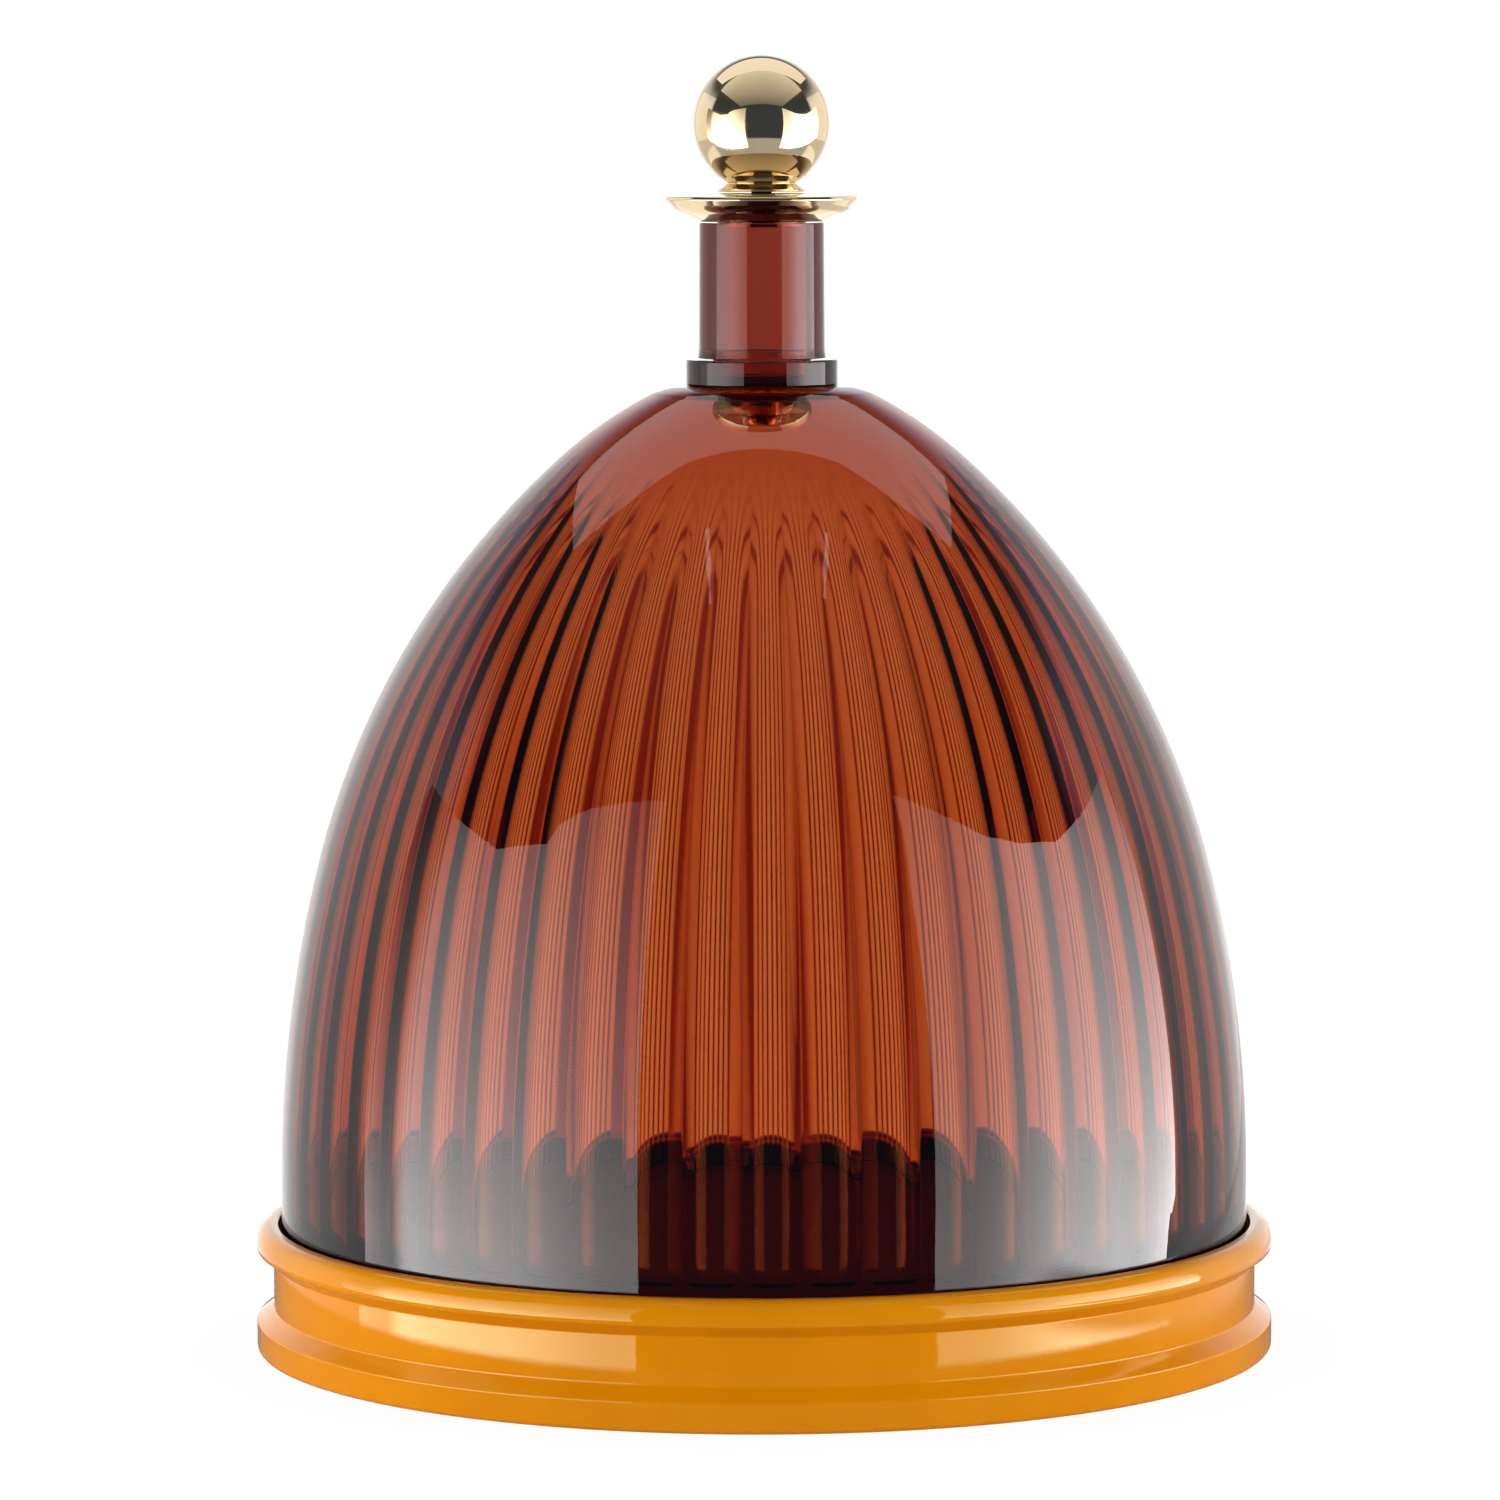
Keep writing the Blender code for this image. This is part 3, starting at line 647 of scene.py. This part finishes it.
# The UV map's U, 0 in a hollow and 1 at a ridge, places the ridges' painted shade.
uv_layer = bell.data.uv_layers.new(name="flutes")
corner = np.empty(len(bell.data.loops), int)
bell.data.loops.foreach_get("vertex_index", corner)
row, column = np.divmod(corner, len(angle))
to_ridge = np.tile(np.abs(across), FLUTES)[column] * (is_inside * top)[row]
uv_layer.data.foreach_set("uv", np.stack([to_ridge, is_inside[row]], 1).astype(float).ravel())
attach(bell, "cover")
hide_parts("dome_shell")


# Collar
# Turned from solid amber acrylic: a ring on the crown, a tapered foot and a stem through it, and
# a short spigot round a blind cup, which the neck tube is bonded over.
TUBE_AMBER, TUBE_DENSITY = (0.765, 0.460, 0.346, 1), 650.0
STEM_RADIUS, CUP_RADIUS, SPIGOT_RADIUS, RING_RADIUS = 0.0040, 0.0118, 0.0143, 0.02225
STEM_END, STEM_TOP, RING_SEAT, RING_EDGE, RING_TOP = 0.2735, 0.2797, 0.2815, 0.2835, 0.2908
SPIGOT_TOP, CUP_FLOOR, SEAT_RADIUS, SEAT_EDGE = 0.2933, 0.2859, 0.0145, 0.01905
collar = turned(
    "collar_turning",
    section(
        (0, STEM_END),
        (0.0034, STEM_END, 0.0002),
        (STEM_RADIUS, 0.2741, 0.0002),
        (STEM_RADIUS, STEM_TOP, 0.0002),
        (CUP_RADIUS, STEM_TOP, 0.0003),
        (SEAT_RADIUS, RING_SEAT, 0.0003),
        (SEAT_EDGE, RING_SEAT, 0.0003),
        (RING_RADIUS, RING_EDGE, 0.0005),
        (RING_RADIUS, RING_TOP, 0.0006),
        (SPIGOT_RADIUS, RING_TOP, 0.0002),
        (SPIGOT_RADIUS, SPIGOT_TOP, 0.0003),
        (CUP_RADIUS, SPIGOT_TOP, 0.0003),
        (CUP_RADIUS, CUP_FLOOR, 0.0006),
        (0, CUP_FLOOR),
    ),
    160,
    amber("amber_collar", 0.03, 0.01, TUBE_AMBER, TUBE_DENSITY * 0.7),
)
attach(collar, "cover")
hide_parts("collar")


# Washer
# A ring of clear silicone, pressed between the nut and the crown.
SILICONE, SILICONE_IOR = ((0.72, 0.66, 0.60, 1), (0.60, 0.55, 0.50, 1)), 1.41
STEM_HOLE, WASHER_RADIUS, WASHER_UNDER, WASHER_TOP = 0.0043, 0.0136, 0.2783, 0.2791
silicone, node, output = new_material("silicone")
place = node.place()
dust = node.make("ShaderNodeTexNoise", {}, {"Vector": place, "Scale": 300.0, "Detail": 4.0})
body = node.make(
    "ShaderNodeBsdfPrincipled", {},
    {
        "Base Color": dust.step(0.4, 0.7).blend(*SILICONE),
        "Roughness": dust.step(0.3, 0.7, 0.25, 0.4),
        "IOR": SILICONE_IOR,
        "Transmission Weight": 0.8,
    },
)
body.into(output)
washer = turned(
    "washer_disc",
    section(
        (STEM_HOLE, WASHER_UNDER, 0.0001),
        (WASHER_RADIUS, WASHER_UNDER, 0.0002),
        (WASHER_RADIUS, WASHER_TOP, 0.0002),
        (STEM_HOLE, WASHER_TOP, 0.0001),
        finish=4,
    ),
    128,
    silicone,
)
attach(washer, "cover")
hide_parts("nut_washer")


# Nut
# A round amber cap nut, turned and polished, that holds the collar down from inside the bell.
# Its belly and its shoulder are parts of ellipses that meet at its widest place.
NUT_RADIUS, NUT_TOP_RADIUS, NUT_WIDEST = 0.0148, 0.0139, 0.2750
NUT_BELLY, NUT_SHOULDER, NUT_TOP, NUT_HOLE_END = 0.0049, 0.0030, 0.2780, 0.2732
belly = np.radians(np.linspace(-88, 0, 22))
belly = np.stack([NUT_RADIUS * np.cos(belly), NUT_WIDEST + NUT_BELLY * np.sin(belly)], 1)
lean = math.acos(NUT_TOP_RADIUS / NUT_RADIUS)
shoulder = np.linspace(0, lean, 8)[1:]
shoulder_height = NUT_SHOULDER / math.sin(lean) * np.sin(shoulder)
shoulder = np.stack([NUT_RADIUS * np.cos(shoulder), NUT_WIDEST + shoulder_height], 1)
nut = turned(
    "nut_turning",
    section(
        (0, 0.2701),
        np.concatenate([belly, shoulder]),
        (STEM_HOLE, NUT_TOP, 0.0002),
        (STEM_HOLE, NUT_HOLE_END, 0.0004),
        (0, NUT_HOLE_END),
    ),
    128,
    amber("amber_nut", 0.02, 0.0, AMBER, AMBER_DENSITY * 0.05),
)
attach(nut, "cover")
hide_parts("retaining_nut")


# Neck
# A length of thick amber acrylic tube, a little wider at its foot, polished at both ends.
NECK_RADIUS, NECK_FLARE, NECK_BORE, NECK_SOCKET = 0.0183, 0.01885, 0.0132, 0.0146
NECK_FOOT, NECK_STEP, NECK_TOP = 0.2911, 0.2936, 0.3307
neck = turned(
    "neck_tubing",
    section(
        (NECK_FLARE, NECK_FOOT, 0.0003),
        (0.01848, NECK_STEP, 0.0060),
        (NECK_RADIUS, NECK_TOP, 0.0004),
        (NECK_BORE, NECK_TOP, 0.0004),
        (NECK_BORE, NECK_STEP, 0.0002),
        (NECK_SOCKET, NECK_STEP, 0.0002),
        (NECK_SOCKET, NECK_FOOT, 0.0002),
    ),
    160,
    amber("amber_neck", 0.02, 0.015, TUBE_AMBER, TUBE_DENSITY),
)
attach(neck, "cover")
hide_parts("neck_tube")


# Saucer
# Brass, spun and turned to a thin lip, plated pale gold and polished, with a plug in the neck.
GOLD = ((0.82, 0.65, 0.41, 1), (0.76, 0.59, 0.35, 1))
PLUG_RADIUS, PLUG_FOOT, SAUCER_UNDER, SAUCER_TOP = 0.0129, 0.3294, 0.3310, 0.3394
STUD_HOLE, STUD_HOLE_END = 0.0033, 0.3333


def gold(name, spin):
    """Polished pale gold plate: soft clouding in the polish, and fine rings of its turning."""
    material, node, output = new_material(name)
    place = node.place()
    cloud = node.make("ShaderNodeTexNoise", {}, {"Vector": place, "Scale": 45.0, "Detail": 5.0})
    rings = node.make(
        "ShaderNodeTexWave",
        {"wave_type": "BANDS", "bands_direction": "Z", "wave_profile": "SIN"},
        {"Vector": place, "Scale": 900.0, "Distortion": 0.4},
    )
    relief = node.make(
        "ShaderNodeBump", {}, {"Strength": spin, "Distance": 0.00005, "Height": rings}
    )
    body = node.make(
        "ShaderNodeBsdfPrincipled", {},
        {
            "Base Color": cloud.step(0.35, 0.7).blend(*GOLD),
            "Roughness": cloud.step(0.4, 0.75, 0.03, 0.10),
            "Metallic": 1.0,
            "Normal": relief,
        },
    )
    body.into(output)
    return material


saucer = turned(
    "saucer_spinning",
    section(
        (0, PLUG_FOOT),
        (PLUG_RADIUS, PLUG_FOOT, 0.0004),
        (PLUG_RADIUS, SAUCER_UNDER, 0.0002),
        (NECK_RADIUS, SAUCER_UNDER, 0.0004),
        (0.0257, 0.3342, 0.0090),
        (0.0284, 0.3374, 0.0004),
        (0.0281, 0.3384, 0.0004),
        (0.0134, SAUCER_TOP, 0.0300),
        (STUD_HOLE, SAUCER_TOP, 0.0001),
        (STUD_HOLE, STUD_HOLE_END, 0.0002),
        (0, STUD_HOLE_END),
    ),
    192,
    gold("gold_saucer", 0.02),
)
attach(saucer, "cover")
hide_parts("saucer")


# Ball
# A solid brass knob with a small flared foot, turned in one, plated and polished as the saucer.
KNOB_BASE, BALL_RADIUS, KNOB_HOLE_DEPTH = 0.3397, 0.02005, 0.0085
BALL_CENTRE, KNOB_NECK = KNOB_BASE + BALL_RADIUS - 0.0002, KNOB_BASE + 0.0023
low = math.asin((KNOB_NECK - BALL_CENTRE) / BALL_RADIUS)
turn = np.linspace(low, math.pi / 2, 72)[:-1]
ball_line = np.stack([BALL_RADIUS * np.cos(turn), BALL_CENTRE + BALL_RADIUS * np.sin(turn)], 1)
neck_radius = ball_line[0, 0] + 0.0008
knob = turned(
    "knob_ball",
    section(
        (0, KNOB_BASE + KNOB_HOLE_DEPTH),
        (STUD_HOLE, KNOB_BASE + KNOB_HOLE_DEPTH, 0.0002),
        (STUD_HOLE, KNOB_BASE, 0.0001),
        (neck_radius + 0.0022, KNOB_BASE, 0.0001),
        (neck_radius + 0.0026, KNOB_BASE + 0.0004, 0.0003),
        (neck_radius, KNOB_NECK, 0.0003),
        ball_line,
        (0, BALL_CENTRE + BALL_RADIUS),
    ),
    160,
    gold("gold_ball", 0.0),
)
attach(knob, "cover")
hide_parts("ball_knob")

# The knob's own cards light only the knob and its saucer, and the slits light all but these.
for cards, name, state in (
    (knob_cards, "lit_by_knob_cards", "INCLUDE"), (slits, "not_lit_by_slits", "EXCLUDE")
):
    pieces = bpy.data.collections.new(name)
    pieces.objects.link(knob)
    pieces.objects.link(saucer)
    for member in pieces.collection_objects:
        member.light_linking.link_state = state
    for studio_card in cards:
        studio_card.light_linking.receiver_collection = pieces


# Stud
# A headless steel stud, screwed into the ball and the saucer. Its CAD solid is right and stays.
# The thread's colour is darker in its grooves than on its crests: painted shade.
STEEL_WITH_GROOVE_SHADE = ((0.42, 0.42, 0.44, 1), (0.64, 0.64, 0.66, 1))
steel, node, output = new_material("stud_steel")
place = node.place()
thread = node.make(
    "ShaderNodeTexWave",
    {"wave_type": "BANDS", "bands_direction": "Z", "wave_profile": "TRI"},
    {"Vector": place, "Scale": 320.0},
)
relief = node.make("ShaderNodeBump", {}, {"Strength": 0.8, "Distance": 0.0004, "Height": thread})
body = node.make(
    "ShaderNodeBsdfPrincipled", {},
    {
        "Base Color": thread.step(0.0, 1.0).blend(*STEEL_WITH_GROOVE_SHADE),
        "Roughness": thread.step(0.0, 1.0, 0.45, 0.28),
        "Metallic": 1.0,
        "Normal": relief,
    },
)
body.into(output)
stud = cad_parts["knob_stud"]
stud.data.materials.clear()
stud.data.materials.append(steel)
